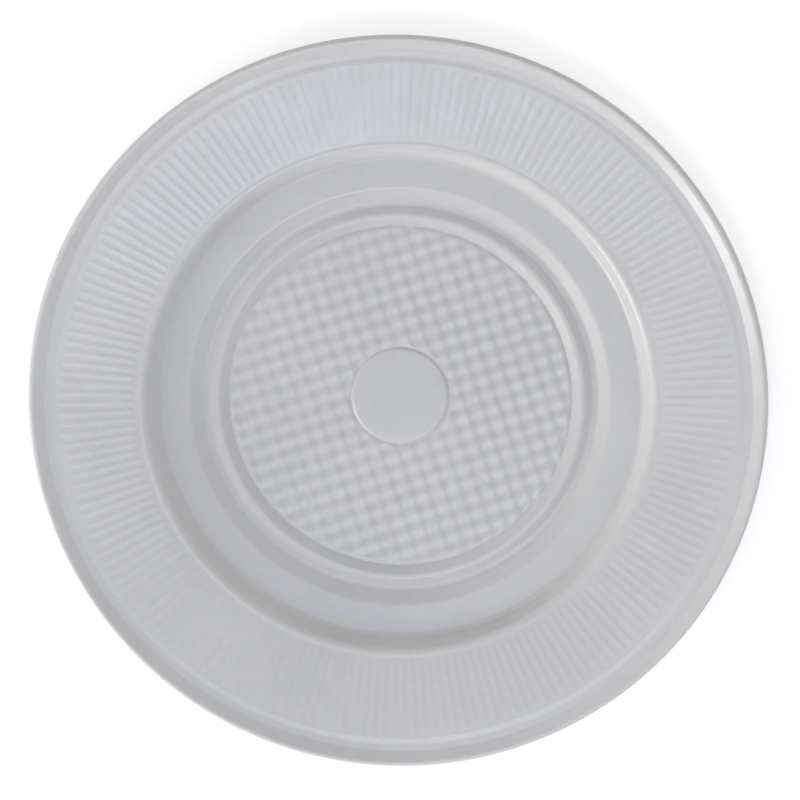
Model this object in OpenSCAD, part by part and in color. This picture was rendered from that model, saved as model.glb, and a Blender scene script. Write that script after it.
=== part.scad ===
// Disposable plastic plate, thermoformed from one thin sheet: a turned-down lip and a raised bead at the
// edge, a band of fine radial ribs on the rim, a stepped well, a channel and a waffled floor panel.
// Millimetres, +Z up, origin on the axis at the level that the plate rests on.

/* [Plate] */
// Diameter over the lip
plate_d = 220; // [190:1:260]
// Height from the resting face to the top of the bead
plate_h = 14; // [12:0.5:22]
// Thickness of the sheet
wall = 0.5; // [0.35:0.05:0.7]

/* [Edge] */
// Drop of the lip's lower end below the top of the bead
lip_drop = 2.8; // [2.4:0.1:5]
// Outward reach of the lip past the bead's outer corner
lip_flare = 0.4; // [0.2:0.05:1.2]
// Width of the bead's flat top
bead_w = 1.1; // [1.1:0.1:3]
// Bend radius at the bead's outer corner
bead_r = 0.7; // [0.5:0.05:0.8]
// Width of the bead's inner slope
bead_slope_w = 2.6; // [2:0.1:4]
// Fall of the bead's inner slope
bead_fall = 1.9; // [0.8:0.1:2.4]
// Width from the bead's slope in to the lowest line of the groove
groove_w = 2.3; // [1.4:0.1:3]
// Fall from the bead's slope to the groove
groove_depth = 0.4; // [0.1:0.05:0.8]
// Width from the groove up to the edge of the rim
rim_edge_w = 1.5; // [1.2:0.1:3]
// Height of the rim's edge above the groove
rim_edge_h = 0.25; // [0.1:0.05:0.6]

/* [Rim] */
// Width of the sloping rim
rim_w = 23.5; // [18:0.5:30]
// Fall of the rim from its outer edge to its inner edge
rim_fall = 2.6; // [1.6:0.1:5]
// Number of ribs round the rim
rib_count = 200; // [120:1:220]
// Width of a rib at the sheet's surface
rib_w = 1.5; // [0.8:0.1:1.8]
// Height of a rib
rib_h = 0.25; // [0.15:0.05:0.4]
// Plain margin between the ribs and each edge of the rim
rib_margin = 1.1; // [1:0.1:3]

/* [Well] */
// Width from the rim's inner edge up to the shoulder
shoulder_w = 2; // [1.8:0.1:5]
// Height of the shoulder above the rim's inner edge
shoulder_h = 0.3; // [0.2:0.1:1]
// Width of the steep wall inside the shoulder
wall_run = 4.3; // [3:0.1:8]
// Width of the ledge at the wall's foot
ledge_w = 7.2; // [4:0.1:9]
// Fall of the ledge from its inner edge out to the wall's foot
ledge_fall = 0.3; // [0.1:0.05:0.8]
// Width of the slope from the ledge down to the channel
slope_w = 4; // [3:0.1:7]
// Height of the ledge's inner edge above the channel
slope_h = 1.8; // [1:0.1:3]
// Width of the channel's floor
channel_w = 1.8; // [1.4:0.1:4]
// Height of the channel's floor above the floor panel
channel_h = 0.8; // [0.4:0.1:1.6]
// Width of the slope from the channel up to the ring inside it
ring_slope_w = 2.4; // [1.6:0.1:4]
// Height of the ring above the channel's floor
ring_h = 0.9; // [0.4:0.1:1.6]
// Width of the ring
ring_w = 2.2; // [1.4:0.1:5]

/* [Floor panel] */
// Width of the slope from the ring down to the panel
panel_step_w = 3.4; // [2.4:0.1:6]
// Spacing of the crossing ridges that divide the panel into square pits
waffle_pitch = 4.7; // [3.5:0.1:8]
// Width of a ridge at the panel's surface
ridge_w = 2.2; // [1:0.1:3]
// Height of a ridge
ridge_h = 0.35; // [0.2:0.05:0.6]
// Turn of the rows of pits
waffle_turn = 18.7; // [0:0.1:90]
// Diameter of the plain boss at the centre
boss_d = 28.6; // [20:0.2:40]
// Height of the boss above the panel
boss_h = 0.45; // [0.3:0.05:0.8]
// Width of the boss's edge
boss_edge_w = 0.8; // [0.6:0.1:1.5]

/* [Bends] */
// Bend radius of the well's larger corners, at the middle of the sheet
well_bend_r = 1.4; // [1:0.1:1.6]
// Bend radius of the small corners, at the middle of the sheet
small_bend_r = 0.7; // [0.5:0.05:0.8]

/* [Hidden] */
half = wall / 2;
// How far a rib or a ridge reaches into the sheet below the surface that it rises from
sink = half / 2;
lip_angle = atan2(lip_flare, lip_drop);

// The sheet's middle line, from the lip's lower end to the axis, as [radius, height]
panel_z = half;
top_z = plate_h - half;
lip_end = [plate_d / 2 - half * cos(lip_angle), top_z - lip_drop];
bead_out = [lip_end[0] - lip_flare, top_z];
bead_in = bead_out - [bead_w, 0];
bead_foot = bead_in - [bead_slope_w, bead_fall];
groove = bead_foot - [groove_w, groove_depth];
rim_out = groove + [-rim_edge_w, rim_edge_h];
rim_in = rim_out - [rim_w, rim_fall];
shoulder = rim_in + [-shoulder_w, shoulder_h];
channel_z = panel_z + channel_h;
ledge_z = channel_z + slope_h;
wall_foot = [shoulder[0] - wall_run, ledge_z - ledge_fall];
ledge_in = [wall_foot[0] - ledge_w, ledge_z];
channel_out = [ledge_in[0] - slope_w, channel_z];
channel_in = channel_out - [channel_w, 0];
ring_out = channel_in + [-ring_slope_w, ring_h];
ring_in = ring_out - [ring_w, 0];
panel_out = [ring_in[0] - panel_step_w, panel_z];
boss_foot = [boss_d / 2 + boss_edge_w, panel_z];
boss_top = [boss_d / 2, panel_z + boss_h];
axis_end = [0, boss_top[1]];
line = [
    lip_end, bead_out, bead_in, bead_foot, groove, rim_out, rim_in, shoulder, wall_foot, ledge_in,
    channel_out, channel_in, ring_out, ring_in, panel_out, boss_foot, boss_top, axis_end
];
// Bend radius at each inner point of the line
bends = [
    bead_r, small_bend_r, small_bend_r, small_bend_r, small_bend_r, small_bend_r, well_bend_r,
    well_bend_r, well_bend_r, well_bend_r, small_bend_r, small_bend_r, small_bend_r, small_bend_r,
    small_bend_r, small_bend_r
];
// Largest turn from one flat of a bend to the next, in degrees
flat_turn = 16;
rim_slope = atan2(rim_fall, rim_w);
rib_len = (rim_w - 2 * rib_margin) / cos(rim_slope);
rib_start = rim_in + [rib_margin, rib_margin * tan(rim_slope)];
waffle_r = panel_out[0] - small_bend_r;
boss_clear_r = boss_foot[0] + small_bend_r;
ridge_steps = floor(waffle_r / waffle_pitch + 0.5);

function unit(v) = v / norm(v);
function left_of(v) = [-v[1], v[0]];
// Sine of the turn from one direction to the next, positive to the left
function turn_sin(a, b) = a[0] * b[1] - a[1] * b[0];
function turn_cos(a, b) = a[0] * b[0] + a[1] * b[1];
function dir_in(i) = unit(line[i] - line[i - 1]);
function dir_out(i) = unit(line[i + 1] - line[i]);
function side(i) = sign(turn_sin(dir_in(i), dir_out(i)));
function turn(i) = abs(atan2(turn_sin(dir_in(i), dir_out(i)), turn_cos(dir_in(i), dir_out(i))));
function is_bend(i) = i > 0 && i < len(line) - 1;
// Distance from a corner of the line to where its bend begins
function cutback(i) = is_bend(i) ? bends[i - 1] * tan(turn(i) / 2) : 0;
function bend_start(i) = is_bend(i) ? line[i] - cutback(i) * dir_in(i) : line[i];
function bend_end(i) = is_bend(i) ? line[i] + cutback(i) * dir_out(i) : line[i];
function bend_steps(i) = ceil(turn(i) / flat_turn);
function bend_centre(i) = bend_start(i) + side(i) * bends[i - 1] * left_of(dir_in(i));

// One face of the sheet, the given distance to the right of the middle line: its ends and its bends' arcs
function face_arc(i, offset) = [
    for (k = [0 : bend_steps(i)])
        bend_centre(i) + (bends[i - 1] + side(i) * offset)
            * turned(unit(bend_start(i) - bend_centre(i)), side(i) * turn(i) * k / bend_steps(i))
];
function turned(v, angle) = [v[0] * cos(angle) - v[1] * sin(angle), v[0] * sin(angle) + v[1] * cos(angle)];
function face(offset) = [
    line[0] - offset * left_of(dir_out(0)),
    for (i = [1 : len(line) - 2]) each face_arc(i, offset),
    line[len(line) - 1] - offset * left_of(dir_in(len(line) - 1))
];
function reversed(points) = [for (i = [len(points) - 1 : -1 : 0]) points[i]];

module sheet() {
    rotate_extrude($fn = 300)
        polygon(concat(face(half), reversed(face(-half))));
}

// All ribs, rising from the surface that lies so far above the sheet's middle line
module ribs(lift) {
    base_w = rib_w * (rib_h + sink) / rib_h;
    for (i = [0 : rib_count - 1]) {
        rotate([0, 0, (i + 0.5) * 360 / rib_count])
            translate([rib_start[0], 0, rib_start[1]])
                rotate([0, -rim_slope, 0])
                    translate([0, 0, lift])
                        rotate([90, 0, 90])
                            linear_extrude(rib_len)
                                polygon([[-base_w / 2, -sink], [base_w / 2, -sink], [0, rib_h]]);
    }
}

// Half the length of a chord at the given distance from the centre of a circle
function half_chord(radius, distance) = distance < radius ? sqrt(radius * radius - distance * distance) : 0;

// One ridge of the panel, from one end to the other along X
module ridge(start, end) {
    base_w = ridge_w * (ridge_h + sink) / ridge_h;
    translate([start, 0, 0])
        rotate([90, 0, 90])
            linear_extrude(end - start)
                polygon([[-base_w / 2, -sink], [base_w / 2, -sink], [0, ridge_h]]);
}

// Two crossing sets of ridges, which end short of the boss and of the panel's edge
module waffle() {
    translate([0, 0, panel_z + half])
        for (across = [0, 90], i = [-ridge_steps : ridge_steps - 1]) {
            place = (i + 0.5) * waffle_pitch;
            outer = half_chord(waffle_r, abs(place));
            inner = half_chord(boss_clear_r, abs(place));
            rotate([0, 0, waffle_turn + across])
                translate([0, place, 0])
                    if (inner > 0) {
                        ridge(-outer, -inner);
                        ridge(inner, outer);
                    } else if (outer > waffle_pitch / 2) {
                        ridge(-outer, outer);
                    }
        }
}

module plate() {
    color([0.82, 0.83, 0.84])
        difference() {
            union() {
                sheet();
                ribs(half);
                waffle();
            }
            ribs(-half);
        }
}

plate();
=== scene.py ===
"""Disposable plastic plate: one formed sheet with a beaded lip, a ribbed rim and a waffled floor panel."""

import math

import bpy
from mathutils import Matrix, Vector


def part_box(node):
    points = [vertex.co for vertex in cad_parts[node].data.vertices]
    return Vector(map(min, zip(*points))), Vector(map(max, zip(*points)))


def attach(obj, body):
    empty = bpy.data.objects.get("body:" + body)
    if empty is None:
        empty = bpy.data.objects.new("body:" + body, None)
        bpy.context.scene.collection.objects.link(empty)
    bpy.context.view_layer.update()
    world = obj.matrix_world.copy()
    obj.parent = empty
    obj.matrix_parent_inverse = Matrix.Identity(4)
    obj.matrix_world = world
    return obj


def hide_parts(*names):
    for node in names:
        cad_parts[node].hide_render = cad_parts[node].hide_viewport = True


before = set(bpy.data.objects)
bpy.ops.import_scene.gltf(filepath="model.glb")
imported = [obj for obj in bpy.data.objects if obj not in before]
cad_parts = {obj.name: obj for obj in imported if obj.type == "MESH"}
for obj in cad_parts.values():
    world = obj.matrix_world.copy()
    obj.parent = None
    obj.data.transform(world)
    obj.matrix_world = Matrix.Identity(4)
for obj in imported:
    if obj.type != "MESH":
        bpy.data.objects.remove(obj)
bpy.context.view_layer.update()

LOW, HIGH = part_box("plate")

MM = 0.001
TAU = 2 * math.pi

# The plate's outline comes from the frame
LIP_R = min(HIGH.x, HIGH.y, -LOW.x, -LOW.y)
PLATE_H = HIGH.z - LOW.z

# The sheet and its edge
WALL = 0.5 * MM
HALF = WALL / 2
LIP_DROP = 2.8 * MM
LIP_FLARE = 0.4 * MM
BEAD_W = 0.85 * MM
BEAD_SLOPE_W = 2.9 * MM
BEAD_FALL = 2.1 * MM
GROOVE_W = 2.3 * MM
GROOVE_DEPTH = 0.2 * MM
RIM_EDGE_W = 1.5 * MM
RIM_EDGE_H = 0.05 * MM

# The rim and its ribs
RIM_W = 24.1 * MM
RIM_FALL = 2.75 * MM
RIB_COUNT = 200
RIB_W = 2.2 * MM
RIB_H = 0.06 * MM
RIB_MARGIN = 1.1 * MM
RIB_FADE = 0.8 * MM

# The well, from the rim to the ring round the floor panel
SHOULDER_W = 2.1 * MM
SHOULDER_H = 0.03 * MM
WALL_RUN = 3.1 * MM
LEDGE_W = 9.7 * MM
LEDGE_FALL = 0.3 * MM
SLOPE_W = 3.9 * MM
SLOPE_H = 2.1 * MM
CHANNEL_W = 1.8 * MM
CHANNEL_H = 0.5 * MM
RING_SLOPE_W = 2.1 * MM
RING_H = 0.95 * MM
RING_W = 1.1 * MM

# The floor panel, its crossing ridges and its boss
PANEL_STEP_W = 2.7 * MM
WAFFLE_PITCH = 4.7 * MM
WAFFLE_TURN = math.radians(18.7)
RIDGE_W = 4.7 * MM
RIDGE_H = 0.42 * MM
WAFFLE_FADE = 0.9 * MM
BOSS_R = 13.8 * MM
BOSS_H = 0.45 * MM
BOSS_EDGE_W = 0.7 * MM

# Bend radii at the middle of the sheet
BEAD_BEND = 0.35 * MM
RIM_BEND = 1.2 * MM
CREASE_BEND = 0.45 * MM
WELL_BEND = 2.3 * MM
RING_BEND = 1.1 * MM
BOSS_BEND = 0.7 * MM

# Fineness of the mesh
ARC_STEP = math.radians(12)
LEAST_ARC_STEPS = 2
PLAIN_POINTS = 360
LEAST_POINTS = 12
RIB_POINTS = 8
UNDER_RIB_POINTS = 4
FADE_RINGS = 3
MIDDLE_RINGS = 4
PANEL_STEP = 0.62 * MM
UNDER_PANEL_STEP = 1.1 * MM
BOSS_STEP = 1.4 * MM
SHARP_ANGLE = math.radians(50)


def section():
    """The sheet's middle line from lip to axis: corners as (radius, height), each with its bend radius."""
    lip_angle = math.atan2(LIP_FLARE, LIP_DROP)
    lip_end = Vector((LIP_R - HALF * math.cos(lip_angle), PLATE_H - HALF - LIP_DROP))
    bead_out = lip_end + Vector((-LIP_FLARE, LIP_DROP))
    bead_in = bead_out + Vector((-BEAD_W, 0))
    bead_foot = bead_in + Vector((-BEAD_SLOPE_W, -BEAD_FALL))
    groove = bead_foot + Vector((-GROOVE_W, -GROOVE_DEPTH))
    rim_out = groove + Vector((-RIM_EDGE_W, RIM_EDGE_H))
    rim_in = rim_out + Vector((-RIM_W, -RIM_FALL))
    shoulder = rim_in + Vector((-SHOULDER_W, SHOULDER_H))
    channel_z = HALF + CHANNEL_H
    ledge_z = channel_z + SLOPE_H
    wall_foot = Vector((shoulder.x - WALL_RUN, ledge_z - LEDGE_FALL))
    ledge_in = Vector((wall_foot.x - LEDGE_W, ledge_z))
    channel_out = Vector((ledge_in.x - SLOPE_W, channel_z))
    channel_in = channel_out + Vector((-CHANNEL_W, 0))
    ring_out = channel_in + Vector((-RING_SLOPE_W, RING_H))
    ring_in = ring_out + Vector((-RING_W, 0))
    panel_out = Vector((ring_in.x - PANEL_STEP_W, HALF))
    boss_foot = Vector((BOSS_R + BOSS_EDGE_W, panel_out.y))
    boss_top = Vector((BOSS_R, panel_out.y + BOSS_H))
    axis_end = Vector((0, boss_top.y))
    edge = [(lip_end, 0), (bead_out, BEAD_BEND)]
    rim = [(corner, RIM_BEND) for corner in (bead_in, bead_foot, groove, rim_out)]
    crease = [(rim_in, CREASE_BEND)]
    well = [(corner, WELL_BEND) for corner in (shoulder, wall_foot, ledge_in, channel_out)]
    floor = [(corner, RING_BEND) for corner in (channel_in, ring_out, ring_in, panel_out)]
    boss = [(boss_foot, BOSS_BEND), (boss_top, BOSS_BEND), (axis_end, 0)]
    return edge + rim + crease + well + floor + boss


LINE = section()

# Which corners of the line are the lip's end, the rim's two edges and the panel's edge
LIP_END = 0
RIM_OUT = 5
RIM_IN = 6
PANEL_OUT = 14

# Radii between which the ribs and the waffle lie
RIB_OUT_R = LINE[RIM_OUT][0].x - RIB_MARGIN
RIB_IN_R = LINE[RIM_IN][0].x + RIB_MARGIN
PANEL_R = LINE[PANEL_OUT][0].x
BOSS_FOOT_R = BOSS_R + BOSS_EDGE_W


def upward(direction):
    """The normal of the sheet's upper face, where the middle line runs in the given direction."""
    return Vector((direction.y, -direction.x))


def turned(vector, angle):
    """The 2-D vector turned to the left by the angle."""
    cos = math.cos(angle)
    sin = math.sin(angle)
    return Vector((vector.x * cos - vector.y * sin, vector.x * sin + vector.y * cos))


def bend(before, corner, after, radius):
    """The points of the arc that rounds a corner, each with the upper face's normal there."""
    way_in = (corner - before).normalized()
    way_out = (after - corner).normalized()
    turn = math.atan2(way_in.x * way_out.y - way_in.y * way_out.x, way_in.dot(way_out))
    start = corner - way_in * radius * math.tan(abs(turn) / 2)
    centre = start - math.copysign(radius, turn) * upward(way_in)
    count = max(LEAST_ARC_STEPS, math.ceil(abs(turn) / ARC_STEP))
    points = []
    for k in range(count + 1):
        angle = turn * k / count
        points.append((centre + turned(start - centre, angle), turned(upward(way_in), angle)))
    return points


def rim_radii():
    """The radii of the rings across the ribs, close together where the ribs fade at their ends."""
    fade = [RIB_FADE * k / FADE_RINGS for k in range(FADE_RINGS + 1)]
    outer = [RIB_OUT_R - step for step in fade]
    inner = [RIB_IN_R + step for step in reversed(fade)]
    gap = (outer[-1] - inner[0]) / MIDDLE_RINGS
    middle = [outer[-1] - gap * k for k in range(1, MIDDLE_RINGS)]
    return outer + middle + inner


def even_radii(outer, inner, step):
    """Radii that divide the stretch between two radii into even steps, without its ends."""
    count = max(1, round((outer - inner) / step))
    return [outer + (inner - outer) * k / count for k in range(1, count)]


def straight(start, end, panel_step):
    """The rings between two bends: on the ribbed rim, on the waffled panel and on the boss."""
    if start.x > RIB_OUT_R and end.x < RIB_IN_R:
        radii = rim_radii()
    elif start.x <= PANEL_R and end.x >= BOSS_R:
        radii = even_radii(start.x, end.x, panel_step)
    elif start.x <= BOSS_R:
        radii = even_radii(start.x, end.x, BOSS_STEP)
    else:
        radii = []
    normal = upward((end - start).normalized())
    return [(start + (end - start) * (start.x - r) / (start.x - end.x), normal) for r in radii]


def stations(panel_step):
    """The points of the middle line that carry a ring of the mesh, from lip to axis, with their normals."""
    first = LINE[0][0]
    found = [(first, upward((LINE[1][0] - first).normalized()))]
    for i in range(1, len(LINE) - 1):
        arc = bend(LINE[i - 1][0], LINE[i][0], LINE[i + 1][0], LINE[i][1])
        found += straight(found[-1][0], arc[0][0], panel_step)
        found += arc
    last = LINE[-1][0]
    found += straight(found[-1][0], last, panel_step)
    found.append((last, Vector((0, 1))))
    return found


def smooth(x):
    """A smooth step from 0 at x = 0 to 1 at x = 1."""
    x = min(max(x, 0), 1)
    return x * x * (3 - 2 * x)


def hump(distance, width):
    """A rounded ridge of height 1 across the given width."""
    if abs(distance) >= width / 2:
        return 0
    return math.cos(math.pi * distance / width) ** 2


def ridge_distance(place):
    """How far a place along one axis of the waffle is from the nearest ridge of that set."""
    # The first ridges lie half a pitch to each side of the centre
    steps = place / WAFFLE_PITCH - 0.5
    return (steps - round(steps)) * WAFFLE_PITCH


def rib_relief(r, angle):
    """How far the ribs rise at a place on the rim."""
    # The first rib lies half a step from the X axis
    place = angle / TAU * RIB_COUNT - 0.5
    across = (place - round(place)) * TAU * r / RIB_COUNT
    fade = smooth(min(r - RIB_IN_R, RIB_OUT_R - r) / RIB_FADE)
    return RIB_H * fade * hump(across, RIB_W)


def waffle_relief(r, angle):
    """How far the ridges rise at a place on the panel: to their full height only where they cross."""
    along = r * math.cos(angle - WAFFLE_TURN)
    across = r * math.sin(angle - WAFFLE_TURN)
    fade = smooth(min(r - BOSS_FOOT_R, PANEL_R - r) / WAFFLE_FADE)
    both = hump(ridge_distance(along), RIDGE_W) + hump(ridge_distance(across), RIDGE_W)
    return RIDGE_H * fade * both / 2


def relief(r, angle):
    """How far the formed sheet rises from its plain section at a place."""
    if RIB_IN_R < r < RIB_OUT_R:
        return rib_relief(r, angle)
    if BOSS_FOOT_R < r < PANEL_R:
        return waffle_relief(r, angle)
    return 0


def ring_count(r, rib_points, panel_step):
    """How many points a ring of the mesh has."""
    if RIB_IN_R - RIB_FADE < r < RIB_OUT_R + RIB_FADE:
        return RIB_COUNT * rib_points
    if r < PANEL_R:
        step = panel_step if r > BOSS_R else BOSS_STEP
        return max(LEAST_POINTS, min(PLAIN_POINTS, round(TAU * r / step)))
    return PLAIN_POINTS


class Shell:
    """Collects the vertices and faces of one closed mesh."""

    def __init__(self):
        self.vertices = []
        self.faces = []

    def ring(self, point, normal, side, count):
        """One ring of vertices on the face that lies the given distance above the middle line."""
        start = len(self.vertices)
        for k in range(count):
            angle = TAU * k / count
            lift = side + relief(point.x, angle)
            r = point.x + normal.x * lift
            z = LOW.z + point.y + normal.y * lift
            self.vertices.append((r * math.cos(angle), r * math.sin(angle), z))
        return list(range(start, start + count))

    def face(self, corners, up):
        """One face, whose corners run the other way round on the underside."""
        self.faces.append(corners if up else corners[::-1])

    def join(self, outer, inner, up):
        """Faces between two rings, whatever number of points each has."""
        outer_count = len(outer)
        inner_count = len(inner)
        if outer_count == inner_count:
            for k in range(outer_count):
                after = (k + 1) % outer_count
                self.face((outer[k], outer[after], inner[after], inner[k]), up)
            return
        # Walk round both rings together: each triangle takes the next edge of the ring that lags behind
        i = 0
        j = 0
        while i < outer_count or j < inner_count:
            outer_next = (2 * i + 1) * inner_count <= (2 * j + 1) * outer_count
            if j == inner_count or (i < outer_count and outer_next):
                self.face((outer[i], outer[(i + 1) % outer_count], inner[j % inner_count]), up)
                i += 1
            else:
                self.face((outer[i % outer_count], inner[(j + 1) % inner_count], inner[j]), up)
                j += 1

    def skin(self, side, rib_points, panel_step):
        """One whole face of the sheet, from the lip to the axis. Returns the ring at the lip."""
        up = side > 0
        places = stations(panel_step)
        rings = []
        for point, normal in places[:-1]:
            rings.append(self.ring(point, normal, side, ring_count(point.x, rib_points, panel_step)))
        for outer, inner in zip(rings, rings[1:]):
            self.join(outer, inner, up)
        centre = len(self.vertices)
        self.vertices.append((0, 0, LOW.z + places[-1][0].y + side))
        last = rings[-1]
        for k in range(len(last)):
            self.face((last[k], last[(k + 1) % len(last)], centre), up)
        return rings[0]


def add_object(name, data):
    """A new object that holds the mesh, lamp or camera, in the scene."""
    thing = bpy.data.objects.new(name, data)
    bpy.context.scene.collection.objects.link(thing)
    return thing


def make_sheet():
    """The plate's sheet as one closed mesh."""
    shell = Shell()
    top = shell.skin(HALF, RIB_POINTS, PANEL_STEP)
    under = shell.skin(-HALF, UNDER_RIB_POINTS, UNDER_PANEL_STEP)
    shell.join(under, top, True)
    mesh = bpy.data.meshes.new("plate_sheet")
    mesh.from_pydata(shell.vertices, [], shell.faces)
    mesh.validate()
    mesh.shade_smooth()
    mesh.set_sharp_from_angle(angle=SHARP_ANGLE)
    return add_object("plate_sheet", mesh)


# The stretch of a noise texture's range in which nearly all its values lie
NOISE_LOW = 0.3
NOISE_HIGH = 0.7


class Nodes:
    """Builds a node tree. An input is set to a value, or linked to another node's output."""

    def __init__(self, owner):
        owner.use_nodes = True
        self.tree = owner.node_tree
        self.tree.nodes.clear()

    def add(self, kind, inputs=None, **settings):
        """A new node of the kind, with its settings and inputs."""
        node = self.tree.nodes.new(kind)
        for name, value in settings.items():
            setattr(node, name, value)
        for name, value in (inputs or {}).items():
            if isinstance(value, bpy.types.NodeSocket):
                self.tree.links.new(value, node.inputs[name])
            else:
                node.inputs[name].default_value = value
        return node

    def noise(self, place, scale, detail):
        """A noise texture over the given coordinates."""
        inputs = {"Vector": place, "Scale": scale, "Detail": detail}
        return self.add("ShaderNodeTexNoise", inputs).outputs["Fac"]

    def spread(self, value, low, high):
        """A noise stretched over the range from low to high."""
        inputs = {
            "Value": value,
            "From Min": NOISE_LOW,
            "From Max": NOISE_HIGH,
            "To Min": low,
            "To Max": high,
        }
        return self.add("ShaderNodeMapRange", inputs).outputs["Result"]

    def bump(self, height, distance, strength, normal=None):
        """A normal that follows the height, on top of another bump's normal where one is given."""
        inputs = {"Height": height, "Distance": distance, "Strength": strength}
        if normal:
            inputs["Normal"] = normal
        return self.add("ShaderNodeBump", inputs).outputs["Normal"]

    def larger(self, first, second):
        """The larger one of two values."""
        return self.add("ShaderNodeMath", {0: first, 1: second}, operation="MAXIMUM").outputs[0]


# The plastic's tone: soft clouds and a finer mottle between two near shades
DARKER_SHADE = (0.6, 0.598, 0.586, 1)
LIGHTER_SHADE = (0.657, 0.654, 0.638, 1)
CLOUD_SCALE = 22
CLOUD_DETAIL = 3
MOTTLE_SCALE = 420
MOTTLE_DETAIL = 2
MOTTLE_SHARE = 0.35

# Its soft gloss
GLOSS_SCALE = 160
GLOSS_DETAIL = 4
LEAST_ROUGHNESS = 0.3
MOST_ROUGHNESS = 0.36
PLASTIC_IOR = 1.52

# Its slightly wavy surface, with a fine grain
WAVE_SCALE = 60
WAVE_DETAIL = 2
WAVE_HEIGHT = 0.35 * MM
WAVE_STRENGTH = 0.35
GRAIN_SCALE = 2600
GRAIN_DETAIL = 3
GRAIN_HEIGHT = 0.03 * MM
GRAIN_STRENGTH = 0.5

# How far light spreads inside the plastic
SCATTER_LENGTH = 1.3 * MM


def plastic():
    """Pale, cool grey-white formed plastic with a soft gloss."""
    material = bpy.data.materials.new("sheet_plastic")
    nodes = Nodes(material)
    place = nodes.add("ShaderNodeTexCoord").outputs["Object"]

    # The sheet is a little thinner, and so a little darker, here and there
    cloud = nodes.noise(place, CLOUD_SCALE, CLOUD_DETAIL)
    mottle = nodes.noise(place, MOTTLE_SCALE, MOTTLE_DETAIL)
    tone = nodes.add("ShaderNodeMix", {"Factor": MOTTLE_SHARE, "A": cloud, "B": mottle}).outputs["Result"]
    shades = {"Factor": nodes.spread(tone, 0, 1), "A": DARKER_SHADE, "B": LIGHTER_SHADE}
    colour = nodes.add("ShaderNodeMix", shades, data_type="RGBA").outputs["Result"]

    gloss = nodes.spread(nodes.noise(place, GLOSS_SCALE, GLOSS_DETAIL), LEAST_ROUGHNESS, MOST_ROUGHNESS)
    waves = nodes.bump(nodes.noise(place, WAVE_SCALE, WAVE_DETAIL), WAVE_HEIGHT, WAVE_STRENGTH)
    grain = nodes.bump(nodes.noise(place, GRAIN_SCALE, GRAIN_DETAIL), GRAIN_HEIGHT, GRAIN_STRENGTH, waves)
    shader = nodes.add("ShaderNodeBsdfPrincipled", {
        "Base Color": colour,
        "Roughness": gloss,
        "Normal": grain,
        "IOR": PLASTIC_IOR,
        "Subsurface Weight": 1,
        "Subsurface Scale": SCATTER_LENGTH,
        "Subsurface Radius": (1, 1, 1),
    })
    nodes.add("ShaderNodeOutputMaterial", {"Surface": shader.outputs["BSDF"]})
    return material


WHITE = (1, 1, 1, 1)

# The floor: white to the camera, with the plate's soft shadow
FLOOR_SIZE = 6
FLOOR_GLOW = 0.7
FLOOR_COLOUR = (0.5, 0.5, 0.5, 1)


def floor_material():
    """White floor that can be looked through from below."""
    material = bpy.data.materials.new("floor_white")
    nodes = Nodes(material)
    path = nodes.add("ShaderNodeLightPath").outputs
    seen = nodes.larger(path["Is Camera Ray"], path["Is Glossy Ray"])
    seen = nodes.larger(seen, path["Is Transmission Ray"])
    glow = nodes.add("ShaderNodeMath", {0: seen, 1: FLOOR_GLOW}, operation="MULTIPLY")
    paint = nodes.add("ShaderNodeBsdfDiffuse", {"Color": FLOOR_COLOUR})
    light = nodes.add("ShaderNodeEmission", {"Color": WHITE, "Strength": glow.outputs[0]})
    both = nodes.add("ShaderNodeAddShader", {0: paint.outputs[0], 1: light.outputs[0]})
    clear = nodes.add("ShaderNodeBsdfTransparent")
    below = nodes.add("ShaderNodeNewGeometry").outputs["Backfacing"]
    floor = nodes.add("ShaderNodeMixShader", {0: below, 1: both.outputs[0], 2: clear.outputs[0]})
    nodes.add("ShaderNodeOutputMaterial", {"Surface": floor.outputs[0]})
    return material


def make_floor():
    """A flat square at the height that the plate rests on."""
    half = FLOOR_SIZE / 2
    mesh = bpy.data.meshes.new("floor")
    corners = [(-half, -half, LOW.z), (half, -half, LOW.z), (half, half, LOW.z), (-half, half, LOW.z)]
    mesh.from_pydata(corners, [], [(0, 1, 2, 3)])
    mesh.materials.append(floor_material())
    return add_object("floor", mesh)


# Light from all round
WORLD_LIGHT = 0.55

# Square lamps that face the plate
LAMP_DISTANCE = 1.6
WARM = (1, 0.98, 0.95)

# Each lamp's name, azimuth and elevation in degrees, size in metres, power in watts and colour
LAMPS = [
    ("key", 214, 13, 0.6, 13.5, WARM),
    ("soft_key", 212, 45, 0.9, 2.5, WARM),
    ("fill", 130, 38, 0.6, 1.2, (0.96, 0.98, 1)),
    ("low_fill", 335, 30, 0.6, 1.6, (0.92, 0.96, 1)),
    ("window", -88, 68.5, 0.22, 4.6, (0.64, 0.71, 1)),
]


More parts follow.
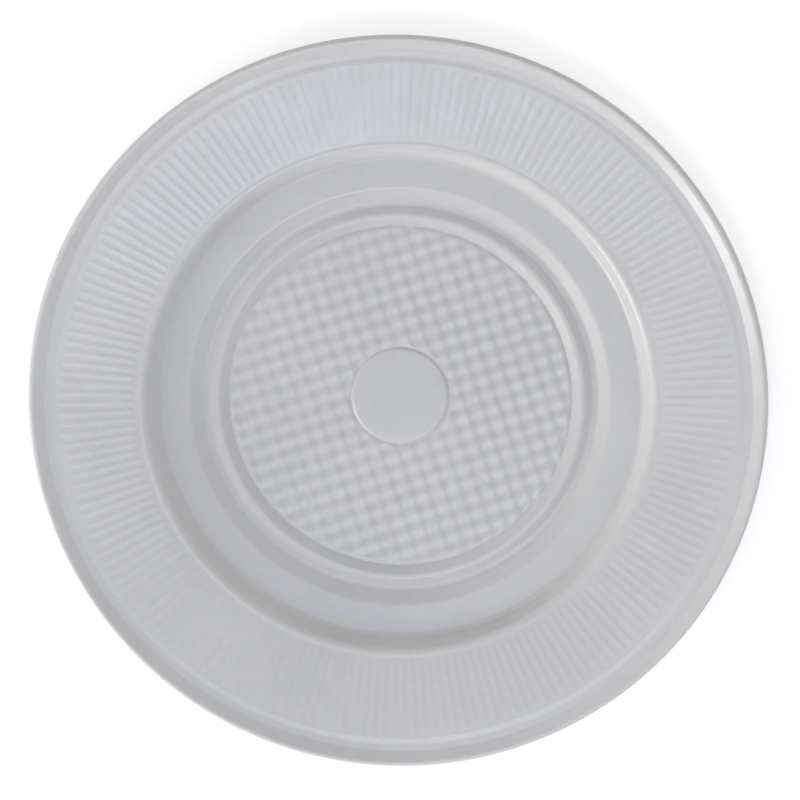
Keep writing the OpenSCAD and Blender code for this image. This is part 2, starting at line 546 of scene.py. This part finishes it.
def make_world():
    """Soft light from all round, white where the camera looks past the floor."""
    world = bpy.data.worlds.new("studio")
    bpy.context.scene.world = world
    nodes = Nodes(world)
    seen = nodes.add("ShaderNodeLightPath").outputs["Is Camera Ray"]
    level = nodes.add("ShaderNodeMapRange", {"Value": seen, "To Min": WORLD_LIGHT, "To Max": 1})
    light = nodes.add("ShaderNodeBackground", {"Color": WHITE, "Strength": level.outputs["Result"]})
    nodes.add("ShaderNodeOutputWorld", {"Surface": light.outputs["Background"]})


def towards(azimuth, elevation):
    """The unit vector that points to the azimuth and elevation, both in radians."""
    across = math.cos(elevation)
    return Vector((across * math.cos(azimuth), across * math.sin(azimuth), math.sin(elevation)))


def make_softbox(name, azimuth, elevation, size, power, colour):
    """A square area lamp that faces the plate, its azimuth and elevation in degrees."""
    lamp = bpy.data.lights.new(name, "AREA")
    lamp.shape = "SQUARE"
    lamp.size = size
    lamp.energy = power
    lamp.color = colour
    box = add_object(name, lamp)
    way = towards(math.radians(azimuth), math.radians(elevation))
    box.location = way * LAMP_DISTANCE
    box.rotation_euler = way.to_track_quat("Z", "Y").to_euler()


# The camera looks almost straight down, leaning a little towards the photo's top
CAMERA_LENS = 720
CAMERA_SENSOR = 36
VIEW_WIDTH = 237.4 * MM
VIEW_CENTRE = (0.6 * MM, 0.45 * MM)
CAMERA_TILT = math.radians(10)
CAMERA_SIDE = math.radians(71)

# How far it sees, as a multiple of its distance
CAMERA_REACH = 4


def make_camera():
    """The photo's view, whose upward direction is the plate's +Y."""
    data = bpy.data.cameras.new("camera")
    data.lens = CAMERA_LENS
    data.sensor_width = CAMERA_SENSOR
    distance = VIEW_WIDTH * CAMERA_LENS / CAMERA_SENSOR
    data.clip_end = CAMERA_REACH * distance
    camera = add_object("camera", data)
    back = towards(CAMERA_SIDE, math.pi / 2 - CAMERA_TILT)
    target = Vector((*VIEW_CENTRE, LINE[LIP_END][0].y))
    camera.location = target + back * distance
    right = Vector((0, 1, 0)).cross(back).normalized()
    up = back.cross(right)
    camera.rotation_euler = Matrix((right, up, back)).transposed().to_euler()
    bpy.context.scene.camera = camera


bpy.context.scene.view_settings.view_transform = "Standard"

sheet = make_sheet()
sheet.data.materials.append(plastic())
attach(sheet, "root")
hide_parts("plate")

make_floor()
make_world()
for lamp in LAMPS:
    make_softbox(*lamp)
make_camera()
